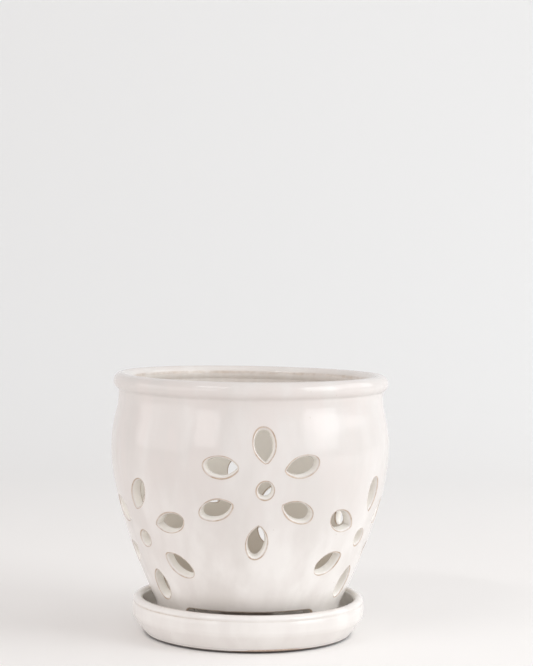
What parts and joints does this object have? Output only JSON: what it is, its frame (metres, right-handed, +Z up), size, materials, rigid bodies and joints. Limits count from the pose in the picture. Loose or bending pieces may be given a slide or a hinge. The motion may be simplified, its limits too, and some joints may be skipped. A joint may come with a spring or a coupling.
{
  "type": "orchid pot with slots",
  "caption": "Round-bellied glazed orchid pot with a rolled rim, cut flower vents and arched feet, standing in its own round saucer.",
  "frame": {"origin": "centre of the saucer's foot ring, on the ground", "axes": "+Z up through the pot's axis; -Y towards the flower that faces the front"},
  "size_m": [0.1784, 0.1784, 0.1672],
  "materials": {
    "pot_glaze": "gloss off-white glaze, tan where it thins over edges",
    "saucer_glaze": "gloss off-white glaze, bare pink-tan clay on the foot ring"
  },
  "bodies": {
    "saucer": {"saucer": "saucer_glaze"},
    "pot": {"pot": "pot_glaze"}
  },
  "joints": [
    {"name": "pot_lift", "type": "slide", "parent": "saucer", "child": "pot", "axis": [0, 0, 1], "range_m": [0, 0.05]}
  ]
}
